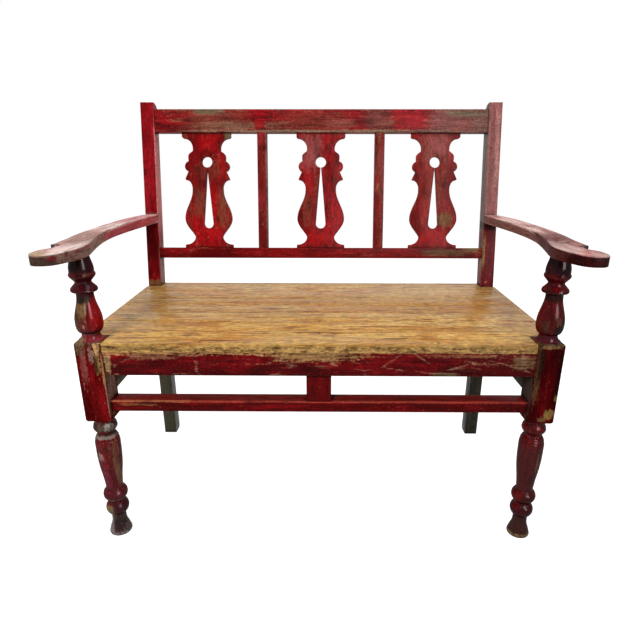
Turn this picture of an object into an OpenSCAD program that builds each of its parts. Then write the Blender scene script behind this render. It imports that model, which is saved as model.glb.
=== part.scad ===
// Painted hall bench: turned front legs, sawn splat back, flat shaped arms
// and a four-board seat on a pegged frame. Millimetres, +Z up, +Y to the back.
// The origin is on the floor under the centre of the whole bench.

/* [Overall] */
// Width across the outer faces of the legs
overall_w = 916; // [760:2:1200]
// Height of the seat's top face above the floor
seat_h = 443; // [430:1:480]
// Front face of a front leg to front face of a rear post
seat_run = 434; // [400:1:500]

/* [Front legs] */
// Side of the square block in the middle of a front leg
leg_sq = 50; // [46:1:56]
// Length of that block, down from the seat
block_h = 163; // [155:1:170]
// Flat kept outside the round that trims the block's corners
pommel = 7; // [4:0.5:8]
// Largest radius of the turned stretches
turn_r = 25; // [22:0.5:25]
// Radius of the turned foot at its widest
foot_r = 23; // [20:0.5:24]
// Height of the flared foot
foot_h = 42; // [36:1:46]
// Ankle radius above the foot
ankle_r = 14.5; // [12:0.5:16]
// Height of each of the two rings above the ankle
ankle_ring_h = 30; // [26:1:32]
// Neck radius between turned rings
neck_r = 16.5; // [14:0.5:17.5]
// Height of the collar ring under the block
collar_h = 24; // [20:1:26]
// Radius of the slim necks in the arm support
support_neck_r = 14.5; // [13:0.5:15.5]
// Height of the saucer ring at the foot of the arm support
saucer_h = 15; // [11:0.5:17]
// Height of the sharp disc ring in the arm support
disc_h = 22; // [18:1:26]
// Height of the bell under the arm
bell_h = 40; // [36:1:46]

/* [Rear posts] */
// Width of a rear post
post_w = 33; // [30:1:40]
// How far the rear posts stand in from the legs' outer faces
post_inset = 2; // [0:0.5:4]
// Thickness of a rear post, front to back
post_d = 37; // [34:1:44]
// Lean of the back above the seat, in degrees
rake = 10.8; // [6:0.2:14]
// Length of the raked stretch above the seat
post_rise = 462; // [450:1:520]
// Radius that rounds the post's top towards the back
post_top_r = 26; // [18:1:30]
// Radius on the hollow side of the bend at the seat
bend_r = 160; // [120:5:240]
// Bevel round the bottom of a rear leg
rear_foot_bevel = 5; // [2:0.5:8]

/* [Back frame] */
// Thickness of the back's rails and mullions
rail_t = 20; // [18:1:28]
// Step back of the rails from the posts' front faces
rail_setback = 2; // [0:0.5:6]
// Seat to the underside of the lower rail, along the rake
lower_rail_rise = 74; // [50:1:100]
// Height of the lower rail
lower_rail_h = 27; // [24:1:40]
// How far the posts stand up past the crest rail
horn_h = 16; // [6:1:24]
// Height of the crest rail
crest_h = 56; // [50:1:60]
// Width of a mullion
mullion_w = 25; // [20:1:34]
// Centre of each mullion from the bench's middle
mullion_x = 150; // [130:1:170]

/* [Splats] */
// Thickness of a splat board
splat_t = 12; // [10:0.5:16]
// Full width of a splat at its ends
splat_w = 125; // [110:1:140]
// Width at the narrow neck above the foot
splat_neck_w = 71; // [66:1:78]
// Width of the pear-shaped belly
splat_belly_w = 122; // [112:1:128]
// Width at the waist over the belly
splat_waist_w = 79; // [74:1:84]
// Radius of the round piercing
pierce_r = 13.5; // [8:0.5:16]
// Half width of the slot at its round lower end
slot_r = 12.5; // [8:0.5:14]
// Wood left between the slot and the round hole of the left splat
slot_bridge = 6; // [3:0.5:12]

/* [Arms] */
// Top of the arm above the seat, over the front leg
arm_rise = 188; // [170:1:215]
// Thickness of the arm board
arm_t = 20; // [18:1:26]
// Width of the arm's hand rest over the front leg
hand_rest_w = 65; // [58:1:74]
// Width of the arm's sweep behind the hand rest
arm_w = 41; // [34:1:48]
// How much thinner the underside makes the arm at its tip
arm_thin = 2.5; // [0:0.5:5]
// Reach of the arm in front of the front leg's face
arm_reach = 118; // [100:1:130]
// Slope of the arm, up towards the front, in degrees
arm_slope = 0.7; // [0:0.1:3]
// Radius of the round tenon that carries the arm
arm_tenon_r = 10; // [8:0.5:12]
// Depth of the step sawn in the arm's outer edge
arm_step = 17; // [10:1:20]
// How far the arm bows out past the leg's outer face
arm_bow = 18.5; // [10:0.5:28]
// Width of the stub tenon at the back of the arm
arm_stub_w = 20; // [16:1:24]

/* [Seat frame] */
// Height of the apron and the seat rails
apron_h = 47; // [42:1:60]
// Thickness of the apron and the seat rails
apron_t = 22; // [18:1:26]
// Step back of the apron and rails from the leg faces
apron_setback = 2; // [0:0.5:4]
// Width of the bearer under the middle of the seat
bearer_w = 30; // [24:1:40]
// Height of that bearer
bearer_h = 30; // [26:1:38]

/* [Seat boards] */
// Thickness of a seat board
board_t = 17; // [14:1:20]
// Width of the front board
front_board_w = 74; // [68:1:90]
// Width of the second board
second_board_w = 122; // [100:1:130]
// Width of the third board
third_board_w = 112; // [100:1:130]
// Open seam between two boards
board_seam = 0.8; // [0.4:0.1:2]
// Overhang of the boards past the side faces of the legs
board_overhang = 1; // [0:0.5:6]
// Clearance of the notches round legs and posts
notch_gap = 0.3; // [0.2:0.1:1]

/* [Stretchers] */
// Height of each stretcher bar
stretcher_h = 22; // [18:1:28]
// Depth of the front and rear stretchers
stretcher_d = 33; // [20:1:36]
// Thickness of a side stretcher
side_stretcher_t = 24; // [20:1:26]
// Underside of the front and rear stretchers above the floor
stretcher_z = 299; // [290:1:302]
// Step up of the side stretchers over the front one
stretcher_stagger = 11; // [8:1:16]
// Width of the strut between front stretcher and apron
strut_w = 48; // [30:1:70]
// Depth of that strut
strut_d = 20; // [16:1:24]

/* [Joints] */
// Tenon thickness in the legs and posts
tenon_t = 10; // [8:0.5:11]
// Tenon length into a front leg
leg_tenon = 22; // [18:1:24]
// Tenon length into a rear post, across it
post_tenon = 20; // [16:1:22]
// Tenon length into a rear post from its front face
stub_tenon = 12; // [8:1:13]
// Shoulder above and below a tenon
shoulder = 5; // [3:0.5:6]
// Length of the tongues on splats, mullions, strut and bearer
tongue = 8; // [5:0.5:10]
// Clearance round a tenon in its mortise
joint_gap = 0.15; // [0.1:0.05:0.3]
// Radius of a peg
peg_r = 3.5; // [2.5:0.5:4]
// Clearance round a peg
peg_gap = 0.05; // [0.02:0.01:0.1]
// Wood left over the blind end of a peg hole
peg_blind = 5; // [3:0.5:8]
// Length of a seat nail
nail_l = 40; // [32:1:42]
// Radius of a nail's shank
nail_r = 1.5; // [1:0.25:2]
// Radius of a nail's head
nail_head_r = 3; // [2.5:0.25:4]
// Thickness of a nail's head
nail_head_t = 1.2; // [0.8:0.1:2]
// Clearance round a nail
nail_gap = 0.05; // [0.02:0.01:0.1]

/* [Hidden] */
$fn = 64;

// Colours of the paint and of the bare wood
red = "#8c1016";
dark_red = "#5c0c10";
pink_red = "#b8706a";
pine = "#c99f5f";
grey_wood = "#4c4334";
iron = "#3a3230";

// Plan of the frame, measured back from the front faces of the front legs
half_w = overall_w / 2;
leg_x = half_w - leg_sq / 2;
post_out_x = half_w - post_inset;
post_x = post_out_x - post_w / 2;
inner_leg_x = half_w - leg_sq;
inner_post_x = post_out_x - post_w;
post_top_y = (post_d - post_top_r) * cos(rake)
           + (post_rise - post_top_r) * sin(rake) + post_top_r;
back_y = seat_run + post_top_y;
front_y = -(back_y - arm_reach) / 2;
leg_y = front_y + leg_sq / 2;
post_y = front_y + seat_run;

// Heights
crest_rise = post_rise - horn_h - crest_h;
block_z = seat_h - block_h;
rail_top_z = seat_h - board_t;
rail_z = rail_top_z - apron_h;
arm_top_z = seat_h + arm_rise;
arm_under_z = arm_top_z - arm_t;

// Long enough to pass right through any one piece
past = 100;

// Curves. Each takes a start and an end point and leaves out the start.
curve_n = 10;

// An S-curve whose ends both run along the second axis
function ease(p, q) = [for (i = [1:curve_n]) let (t = i / curve_n)
    [p[0] + (q[0] - p[0]) * (1 - cos(180 * t)) / 2, p[1] + (q[1] - p[1]) * t]];

// A quarter of an ellipse that leaves along the second axis
function hollow(p, q) = [for (i = [1:curve_n]) let (t = 90 * i / curve_n)
    [p[0] + (q[0] - p[0]) * (1 - cos(t)), p[1] + (q[1] - p[1]) * sin(t)]];

// A quarter of an ellipse that arrives along the second axis
function round_out(p, q) = [for (i = [1:curve_n]) let (t = 90 * i / curve_n)
    [p[0] + (q[0] - p[0]) * sin(t), p[1] + (q[1] - p[1]) * (1 - cos(t))]];

// A swelling that stands out to r between two heights
function bead(p, q, r) = [for (i = [1:curve_n]) let (t = 180 * i / curve_n)
    [p[0] + (q[0] - p[0]) * i / curve_n + (r - max(p[0], q[0])) * sin(t),
     p[1] + (q[1] - p[1]) * (1 - cos(t) + 2 * i / curve_n) / 4]];

// A smooth line through all its points
function between(a, b, c, d, t) = (2 * b + (c - a) * t + (2 * a - 5 * b + 4 * c - d) * t * t
    + (3 * b - a - 3 * c + d) * t * t * t) / 2;
function smooth(p, n) = [for (i = [0:len(p) - 2], k = [0:n - 1])
    between(p[max(i - 1, 0)], p[i], p[i + 1], p[min(i + 2, len(p) - 1)], k / n)];

module on_left() mirror([1, 0, 0]) children();

// The back leans: x across, y through the thickness, z up along the rake
module raked() translate([0, post_y, seat_h]) rotate([-rake, 0, 0]) children();

// The arm's own frame, with its origin on its top face over the front leg
module arm_frame() translate([leg_x, leg_y, arm_top_z]) rotate([-arm_slope, 0, 0]) children();

// A box from its low corner and its size, grown on all sides but the mouth
module grown(corner, size, gap) translate(corner - [gap, gap, gap])
    cube(size + 2 * [gap, gap, gap]);

// Tenons, drawn on the right side. gap = 0 is the tenon and joint_gap its mortise.
module apron_tenon(gap = 0) grown([inner_leg_x - 1, front_y + apron_setback + (apron_t - tenon_t) / 2,
    rail_z + shoulder], [leg_tenon + 1, tenon_t, apron_h - 2 * shoulder], gap);

module front_stretcher_tenon(gap = 0) grown([inner_leg_x - 1, leg_y - tenon_t / 2,
    stretcher_z + shoulder], [leg_tenon + 1, tenon_t, stretcher_h - 2 * shoulder], gap);

side_rail_x = half_w - apron_setback - apron_t;
module side_rail_tenons(gap = 0) {
    x = side_rail_x + (apron_t - tenon_t) / 2;
    h = apron_h - 2 * shoulder;
    grown([x, front_y + leg_sq - post_tenon, rail_z + shoulder], [tenon_t, post_tenon + 1, h], gap);
    grown([x, post_y - 1, rail_z + shoulder], [tenon_t, stub_tenon + 1, h], gap);
}

side_stretcher_x = post_x - side_stretcher_t / 2;
side_stretcher_z = stretcher_z + stretcher_stagger;
module side_stretcher_tenons(gap = 0) {
    x = post_x - tenon_t / 2;
    z = side_stretcher_z + shoulder;
    h = stretcher_h - 2 * shoulder;
    grown([x, front_y + leg_sq - leg_tenon, z], [tenon_t, leg_tenon + 1, h], gap);
    grown([x, post_y - 1, z], [tenon_t, stub_tenon + 1, h], gap);
}

back_rail_y = post_y + post_d - apron_setback - apron_t;
module back_rail_tenon(gap = 0) grown([inner_post_x - 1, back_rail_y + (apron_t - tenon_t) / 2,
    rail_z + shoulder], [post_tenon + 1, tenon_t, apron_h - 2 * shoulder], gap);

rear_stretcher_y = back_rail_y;
module rear_stretcher_tenon(gap = 0) grown([inner_post_x - 1,
    rear_stretcher_y + (apron_t - tenon_t) / 2, stretcher_z + shoulder],
    [post_tenon + 1, tenon_t, stretcher_h - 2 * shoulder], gap);

// Back rail tenons, in the raked frame
module raked_tenon(z, h, gap = 0) grown([inner_post_x - 1, rail_setback + (rail_t - tenon_t) / 2,
    z + shoulder], [post_tenon + 1, tenon_t, h - 2 * shoulder], gap);

module back_tenons(gap = 0) {
    raked_tenon(lower_rail_rise, lower_rail_h, gap);
    raked_tenon(crest_rise, crest_h, gap);
}

// Stub tenon at the back of the arm, in the arm's frame
arm_stub_t = arm_t - 2 * shoulder;
module arm_stub(gap = 0) grown([post_x - leg_x - arm_stub_w / 2, post_y - leg_y, -arm_t + shoulder],
    [arm_stub_w, stub_tenon + (arm_rise * tan(rake)), arm_stub_t], gap);

// Pegs, each from the face where it is driven. gap widens it to its hole.
module peg(at, turn, l, gap = 0) translate(at) rotate(turn) translate([0, 0, -gap])
    cylinder(r = peg_r + gap, h = l + gap);

peg_high_z = rail_z + apron_h - shoulder - 2.5 * peg_r;
peg_low_z = rail_z + shoulder + 2.5 * peg_r;
module leg_pegs(gap = 0) {
    x = inner_leg_x + leg_tenon / 2;
    peg([x, front_y + leg_sq, peg_high_z], [90, 0, 0], leg_sq - peg_blind, gap);
    peg([x, front_y + leg_sq, stretcher_z + stretcher_h / 2], [90, 0, 0], leg_sq - peg_blind, gap);
    peg([inner_leg_x, front_y + leg_sq - post_tenon / 2, peg_low_z], [0, 90, 0],
        leg_sq - peg_blind, gap);
}

module post_pegs(gap = 0) {
    x = inner_post_x + post_tenon / 2;
    l = post_d - stub_tenon - 2 * joint_gap - 1;
    peg([inner_post_x, post_y + stub_tenon / 2, peg_low_z], [0, 90, 0], post_w - peg_blind, gap);
    peg([x, post_y + post_d, peg_high_z], [90, 0, 0], l, gap);
}

module raked_pegs(gap = 0) {
    for (z = [lower_rail_rise + lower_rail_h / 2, crest_rise + crest_h / 2])
        peg([inner_post_x + post_tenon / 2, post_d, z], [90, 0, 0], post_d - peg_blind, gap);
}

// Turned outline of the lower leg, [radius, height], from the floor up
ankle_z = foot_h + 6;
ring_gap = 6;
lower_ring_z = ankle_z + ankle_ring_h;
upper_ring_z = lower_ring_z + ring_gap;
taper_z = upper_ring_z + ankle_ring_h - 2;
collar_z = block_z - 10;
collar_base_z = collar_z - collar_h;
shoulder_z = collar_base_z - 5;
swell_z = shoulder_z - 22;
taper_h = swell_z - taper_z;
function lower_leg_outline() = concat(
    [[0, 0], [foot_r - 1.5, 0]],
    round_out([foot_r - 1.5, 0], [foot_r, 3]),
    smooth([[foot_r, 4], [foot_r - 3.2, foot_h * 0.36], [ankle_r + 1, foot_h * 0.66],
            [ankle_r, foot_h], [ankle_r, ankle_z]], 3),
    [[ankle_r, ankle_z]],
    bead([ankle_r, ankle_z], [neck_r, lower_ring_z], turn_r - 0.7),
    [[neck_r, upper_ring_z]],
    bead([neck_r, upper_ring_z], [neck_r, taper_z], turn_r - 0.5),
    smooth([[neck_r, taper_z], [neck_r * 0.72 + turn_r * 0.28, taper_z + taper_h * 0.25],
            [neck_r * 0.31 + turn_r * 0.69, taper_z + taper_h * 0.5],
            [turn_r - 0.8, taper_z + taper_h * 0.75], [turn_r - 0.5, swell_z]], 4),
    [[turn_r - 0.5, swell_z]],
    hollow([turn_r - 0.5, swell_z + 2], [turn_r - 2.6, shoulder_z - 11]),
    [[turn_r - 2, shoulder_z - 10], [turn_r - 2.3, shoulder_z - 7]],
    hollow([turn_r - 3.6, shoulder_z - 6.5], [neck_r + 0.8, shoulder_z]),
    [[neck_r + 0.8, collar_base_z], [turn_r - 2.3, collar_base_z + 8.5],
     [turn_r - 1.5, collar_base_z + 11.5], [turn_r - 3, collar_z - 5],
     [neck_r + 2, collar_z], [neck_r + 2, block_z + 1], [0, block_z + 1]]);

// Turned outline of the arm support, from the block up to the arm's underside
vase_z = seat_h + saucer_h + 1.5;
disc_z = arm_under_z - bell_h - disc_h - 16;
bell_z = arm_under_z - bell_h;
function support_outline() = concat(
    [[0, seat_h - 1], [turn_r - 0.5, seat_h - 1], [turn_r - 0.5, seat_h + 1]],
    round_out([turn_r - 1, seat_h + 3], [neck_r, seat_h + saucer_h]),
    [[neck_r + 0.3, vase_z]],
    round_out([neck_r + 0.3, vase_z], [turn_r, vase_z + 18]),
    ease([turn_r, vase_z + 22], [support_neck_r + 1, disc_z]),
    hollow([support_neck_r + 1, disc_z + 1], [turn_r - 2.5, disc_z + 6]),
    [[turn_r - 1.2, disc_z + 7.5], [turn_r - 0.9, disc_z + 10], [turn_r - 2, disc_z + 13],
     [support_neck_r + 1, disc_z + disc_h - 1], [support_neck_r, disc_z + disc_h + 1],
     [support_neck_r + 0.4, disc_z + disc_h + 3], [turn_r - 2.4, bell_z - 4],
     [turn_r - 1.4, bell_z - 1.5], [turn_r - 1.8, bell_z + 1.5], [turn_r - 3.2, bell_z + 3],
     [turn_r - 3.2, bell_z + 5]],
    ease([turn_r - 3.2, bell_z + 8], [support_neck_r + 2, arm_under_z - 1]),
    [[support_neck_r + 2, arm_under_z], [0, arm_under_z]]);

// Wedge in the top of the arm's tenon, pointing down
wedge_w = 2.6;
wedge_h = arm_t - 5;
module wedge(gap = 0) rotate([90, 0, 90])
    translate([0, 0, -arm_tenon_r - past / 2 * gap]) linear_extrude(2 * arm_tenon_r + past * gap)
    polygon([[-wedge_w / 2 - gap, 0], [wedge_w / 2 + gap, 0],
             [0.4 + gap, -wedge_h - gap], [-0.4 - gap, -wedge_h - gap]]);

// The square block, its corners trimmed round on the lathe at both ends
module block() intersection() {
    translate([inner_leg_x, front_y, block_z]) cube([leg_sq, leg_sq, block_h]);
    translate([leg_x, leg_y, 0]) rotate_extrude() polygon(concat(
        [[0, block_z - 1], [leg_sq / 2 + pommel, block_z - 1], [leg_sq / 2 + pommel, block_z]],
        round_out([leg_sq / 2 + pommel, block_z], [leg_sq * 0.72, block_z + 9]),
        [[leg_sq * 0.72, seat_h - 3], [leg_sq / 2 + pommel, seat_h], [0, seat_h]]));
}

module front_leg() color(dark_red) difference() {
    union() {
        translate([leg_x, leg_y, 0]) rotate_extrude() polygon(lower_leg_outline());
        block();
        translate([leg_x, leg_y, 0]) rotate_extrude() polygon(support_outline());
        translate([leg_x, leg_y, arm_under_z - 1])
            cylinder(r = arm_tenon_r, h = arm_t + 1 - 0.2);
    }
    apron_tenon(joint_gap);
    front_stretcher_tenon(joint_gap);
    side_rail_tenons(joint_gap);
    side_stretcher_tenons(joint_gap);
    leg_pegs(peg_gap);
    translate([leg_x, leg_y, arm_top_z]) wedge(peg_gap);
}
module front_leg_right() front_leg();
module front_leg_left() on_left() front_leg();

// Side view of a rear post, as [y, z] in the bench's frame
bend_outer_r = bend_r + post_d;
bend_z = seat_h - bend_outer_r * tan(rake / 2);
bend_n = 6;
function bend(r) = [for (i = [0:bend_n]) let (t = rake * i / bend_n)
    [post_y + bend_outer_r - r * cos(t), bend_z + r * sin(t)]];
function lean(y, z) = [post_y + y * cos(rake) + z * sin(rake),
                       seat_h - y * sin(rake) + z * cos(rake)];
function post_top() = [for (i = [0:curve_n]) let (t = 90 * i / curve_n)
    lean(post_d - post_top_r + post_top_r * cos(t), post_rise - post_top_r + post_top_r * sin(t))];
function reversed(p) = [for (i = [len(p) - 1:-1:0]) p[i]];

module rear_post() color(red) difference() {
    translate([inner_post_x, 0, 0]) rotate([90, 0, 90]) linear_extrude(post_w)
        polygon(concat(
            [[post_y, 1], [post_y + 1, 0], [post_y + post_d - rear_foot_bevel, 0],
             [post_y + post_d, rear_foot_bevel * 1.6]],
            bend(bend_r), post_top(), [lean(0, post_rise)], reversed(bend(bend_outer_r))));
    raked() back_tenons(joint_gap);
    raked() raked_pegs(peg_gap);
    arm_frame() arm_stub(joint_gap);
    back_rail_tenon(joint_gap);
    rear_stretcher_tenon(joint_gap);
    side_rail_tenons(joint_gap);
    side_stretcher_tenons(joint_gap);
    post_pegs(peg_gap);
}
module rear_post_right() rear_post();
module rear_post_left() on_left() rear_post();

// Splat outline: the right half, [half width, height], from the lower rail up.
// Its heights follow the maker's paper pattern, stretched to the board.
splat_h = crest_rise - lower_rail_rise - lower_rail_h;
function up(h) = h * splat_h / 286;
end_r = splat_w / 2;
neck_half = splat_neck_w / 2;
belly_half = splat_belly_w / 2;
waist_half = splat_waist_w / 2;
lobe_r = waist_half * 0.34;
lobe_x = waist_half * 1.114;
function splat_half() = concat(
    [[end_r, 0], [end_r, up(7)]],
    reversed(hollow([neck_half, up(28)], [end_r * 0.968, up(8)])),
    [[neck_half, up(28)]],
    [for (i = [1:curve_n]) let (t = i / curve_n)
        [neck_half + (belly_half - neck_half) * pow(sin(90 * t), 1.25), up(28 + 46 * t)]],
    ease([belly_half, up(74)], [waist_half, up(146)]),
    hollow([waist_half, up(150)], [belly_half * 0.918, up(171)]),
    [[belly_half * 0.943, up(173)], [waist_half * 1.24, up(191)]],
    [for (i = [0:curve_n]) let (t = -66 + 142 * i / curve_n)
        [lobe_x + lobe_r * cos(t), up(204) + lobe_r * sin(t)]],
    [[waist_half * 1.215, up(222)], [waist_half * 1.215, up(231)]],
    ease([waist_half * 1.165, up(233)], [neck_half, up(244)]),
    hollow([neck_half, up(248)], [end_r * 0.952, up(273)]),
    [[end_r, up(276)], [end_r, splat_h]]);
module splat_outline() polygon(concat(splat_half(),
    reversed([for (p = splat_half()) [-p[0], p[1]]])));

pierce_z = up(215);
slot_z = up(62);
module splat_tongue(gap = 0) {
    w = splat_w * 0.76;
    for (z = [-tongue, splat_h - 1])
        grown([-w / 2, splat_t / 4, z], [w, splat_t / 2, tongue + 1], gap);
}
splat_y = rail_setback + (rail_t - splat_t) / 2;
splat_base_z = lower_rail_rise + lower_rail_h;
module splat_place(x) translate([x, splat_y, splat_base_z]) children();
module splat(x, slot_top) color(red) raked() splat_place(x) {
    difference() {
        translate([0, splat_t, 0]) rotate([90, 0, 0]) linear_extrude(splat_t) splat_outline();
        translate([0, splat_t + 1, pierce_z]) rotate([90, 0, 0]) cylinder(r = pierce_r, h = splat_t + 2);
        translate([0, splat_t + 1, slot_z]) rotate([90, 0, 0]) linear_extrude(splat_t + 2)
            union() {
                circle(r = slot_r);
                polygon([[-slot_r, 0], [slot_r, 0], [0.6, slot_top], [-0.6, slot_top]]);
            }
    }
    splat_tongue();
}
bay_x = (mullion_x + mullion_w / 2 + inner_post_x) / 2;
// The slot stops short of the round hole in one splat and runs into it in two
short_slot = pierce_z - pierce_r - slot_bridge - slot_z;
full_slot = pierce_z - pierce_r + 1 - slot_z;
module splat_left() splat(-bay_x, short_slot);
module splat_centre() splat(0, full_slot);
module splat_right() splat(bay_x, full_slot);

module mullion_tongue(gap = 0) {
    w = mullion_w - 2 * shoulder;
    for (z = [splat_base_z - tongue, crest_rise - 1])
        grown([mullion_x - w / 2, rail_setback + (rail_t - tenon_t) / 2, z],
              [w, tenon_t, tongue + 1], gap);
}
module mullion() color(red) raked() {
    translate([mullion_x - mullion_w / 2, rail_setback, splat_base_z])
        cube([mullion_w, rail_t, splat_h]);
    mullion_tongue();
}
module back_mullion_right() mullion();
module back_mullion_left() on_left() mullion();

// A back rail with its tenons and the mortises for splats and mullions
module back_rail(z, h) color(red) raked() difference() {
    union() {
        translate([-inner_post_x, rail_setback, z]) cube([2 * inner_post_x, rail_t, h]);
        raked_tenon(z, h);
        on_left() raked_tenon(z, h);
    }
    for (x = [-bay_x, 0, bay_x]) splat_place(x) splat_tongue(joint_gap);
    mullion_tongue(joint_gap);
    on_left() mullion_tongue(joint_gap);
    raked_pegs(peg_gap);
    on_left() raked_pegs(peg_gap);
}
module crest_rail() back_rail(crest_rise, crest_h);
module lower_back_rail() back_rail(lower_rail_rise, lower_rail_h);

// Arm outline in its own frame: [x, y] from the front leg's axis
tip_y = -arm_reach - leg_sq / 2;
bow_x = half_w + arm_bow - leg_x;
arm_end_y = seat_run - leg_sq / 2 + arm_rise * tan(rake);
post_in_x = inner_post_x - leg_x;
step_y = -leg_sq / 2 - 16;
step_x = leg_sq / 2 + 1.5;
post_side_x = post_out_x - leg_x;
function arm_outer() = smooth([[post_side_x, arm_end_y + past / 5], [post_side_x, arm_end_y],
    [post_side_x + arm_bow * 0.35, arm_end_y * 0.94], [bow_x - arm_bow * 0.2, arm_end_y * 0.8],
    [bow_x, arm_end_y * 0.66], [bow_x, arm_end_y * 0.42], [bow_x - arm_bow * 0.25, arm_end_y * 0.2],
    [step_x + arm_bow * 0.2, leg_sq * 0.4], [step_x, step_y]], 5);
function nose(x, y) = [step_x - hand_rest_w * x, tip_y + arm_reach * y];
function sweep(x, y) = [bow_x - arm_w * x, arm_end_y * y];
function arm_nose() = smooth([[step_x - arm_step, step_y - arm_step], nose(0.29, 0.6),
    nose(0.2, 0.5), nose(0.11, 0.38), nose(0.11, 0.27), nose(0.14, 0.135), nose(0.25, 0.035),
    nose(0.43, 0), nose(0.65, 0.025), nose(0.8, 0.12), nose(0.88, 0.27), nose(0.97, 0.49),
    nose(1, 0.68), nose(0.94, 0.96), nose(0.78, 1.3), sweep(1.37, 0.13), sweep(1.12, 0.245),
    sweep(0.98, 0.36), sweep(0.95, 0.48), sweep(1.05, 0.67), [post_in_x + 1, arm_end_y * 0.91],
    [post_in_x, arm_end_y], [post_in_x, arm_end_y + past / 5]], 4);

// Side view of the arm board in its own frame, as [y, z]
function arm_side() = [[tip_y - 1, 1], [tip_y - 1, arm_thin - arm_t], [step_y, -arm_t],
    [arm_end_y + 30, -arm_t], [arm_end_y + 30, 1]];

module arm() color(pink_red) {
    difference() {
        arm_frame() intersection() {
            translate([0, 0, -arm_t]) linear_extrude(arm_t)
                polygon(concat(arm_outer(), [[step_x, step_y]], arm_nose()));
            translate([-past, 0, 0]) rotate([90, 0, 90]) linear_extrude(2 * past)
                polygon(arm_side());
        }
        raked() translate([0, 0, -past]) cube([past * 20, past * 2, past * 10]);
        translate([leg_x, leg_y, arm_under_z - past / 2])
            cylinder(r = arm_tenon_r + peg_gap, h = past);
    }
    intersection() {
        arm_frame() arm_stub();
        raked() translate([0, -1, 0]) cube([past * 20, stub_tenon, past * 10]);
    }
}
module arm_right() arm();
module arm_left() on_left() arm();

module arm_wedges() color(pine) for (side = [-1, 1])
    translate([side * leg_x, leg_y, arm_top_z]) intersection() {
        wedge();
        translate([0, 0, -past]) cylinder(r = arm_tenon_r, h = past - 0.2);
    }

// Seat nails: [x, y] of each, one row over each rail and the bearer
front_board_y = front_y + apron_setback;
second_board_y = front_board_y + front_board_w + board_seam;
third_board_y = second_board_y + second_board_w + board_seam;
back_board_y = third_board_y + third_board_w + board_seam;
seat_back_y = post_y + post_d;
rail_mid_x = side_rail_x + apron_t / 2;
front_nail_y = front_board_y + apron_t / 2;
board_mid_y = [(front_y + leg_sq + second_board_y) / 2, second_board_y + second_board_w / 2,
               third_board_y + third_board_w / 2, (back_board_y + post_y) / 2];
nails = concat([for (x = [-rail_mid_x, 0, rail_mid_x], y = board_mid_y) [x, y]],
    [for (x = [-inner_leg_x * 0.55, inner_leg_x * 0.55],
          y = [front_nail_y, back_rail_y + apron_t / 2]) [x, y]]);
module nail_set(gap = 0) for (n = nails) translate([n[0], n[1], seat_h]) {
    translate([0, 0, -nail_l - gap]) cylinder(r = nail_r + gap, h = nail_l);
    translate([0, 0, -nail_head_t - gap]) cylinder(r = nail_head_r + gap, h = nail_head_t + gap * 20);
}
module seat_nails() color(iron) intersection() {
    nail_set();
    translate([-half_w, front_y, 0]) cube([overall_w, seat_run + post_d, seat_h]);
}

// A board between two y's, notched round whatever leg or post stands in it
module seat_board(y0, y1) color(pine) difference() {
    translate([-half_w - board_overhang, y0, rail_top_z])
        cube([overall_w + 2 * board_overhang, y1 - y0, board_t]);
    for (side = [0, 1]) mirror([side, 0, 0]) {
        translate([inner_leg_x - notch_gap, front_y - past, rail_top_z - 1])
            cube([past, past + leg_sq + notch_gap, board_t + 2]);
        translate([inner_post_x - notch_gap, post_y - notch_gap, rail_top_z - 1])
            cube([past, past, board_t + 2]);
    }
    nail_set(nail_gap);
}
module seat_board_front() seat_board(front_board_y, front_board_y + front_board_w);
module seat_board_second() seat_board(second_board_y, second_board_y + second_board_w);
module seat_board_third() seat_board(third_board_y, third_board_y + third_board_w);
module seat_board_back() seat_board(back_board_y, seat_back_y);

// Strut and bearer tongues
strut_z = stretcher_z + stretcher_h;
strut_y = leg_y - stretcher_d / 2;
module strut_tongues(gap = 0) for (z = [strut_z - tongue, rail_z - 1])
    grown([-strut_w / 2 + shoulder, strut_y + (strut_d - tenon_t) / 2, z],
          [strut_w - 2 * shoulder, tenon_t, tongue + 1], gap);
bearer_y = front_board_y + apron_t;
bearer_l = back_rail_y - bearer_y;
bearer_z = rail_top_z - bearer_h;
module bearer_tongues(gap = 0) for (y = [bearer_y - tongue, back_rail_y - 1])
    grown([-bearer_w / 2 + shoulder, y, bearer_z + shoulder],
          [bearer_w - 2 * shoulder, tongue + 1, bearer_h - 2 * shoulder], gap);

module front_apron() color(red) difference() {
    union() {
        translate([-inner_leg_x, front_board_y, rail_z]) cube([2 * inner_leg_x, apron_t, apron_h]);
        apron_tenon();
        on_left() apron_tenon();
    }
    leg_pegs(peg_gap);
    on_left() leg_pegs(peg_gap);
    strut_tongues(joint_gap);
    bearer_tongues(joint_gap);
    nail_set(nail_gap);
}

module back_seat_rail() color(grey_wood) difference() {
    union() {
        translate([-inner_post_x, back_rail_y, rail_z]) cube([2 * inner_post_x, apron_t, apron_h]);
        back_rail_tenon();
        on_left() back_rail_tenon();
    }
    post_pegs(peg_gap);
    on_left() post_pegs(peg_gap);
    bearer_tongues(joint_gap);
    nail_set(nail_gap);
}

module side_seat_rail() color(dark_red) difference() {
    union() {
        translate([side_rail_x, front_y + leg_sq, rail_z])
            cube([apron_t, seat_run - leg_sq, apron_h]);
        side_rail_tenons();
    }
    leg_pegs(peg_gap);
    post_pegs(peg_gap);
    nail_set(nail_gap);
}
module side_seat_rail_right() side_seat_rail();
module side_seat_rail_left() on_left() side_seat_rail();

module seat_bearer() color(grey_wood) difference() {
    union() {
        translate([-bearer_w / 2, bearer_y, bearer_z]) cube([bearer_w, bearer_l, bearer_h]);
        bearer_tongues();
    }
    nail_set(nail_gap);
}

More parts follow.
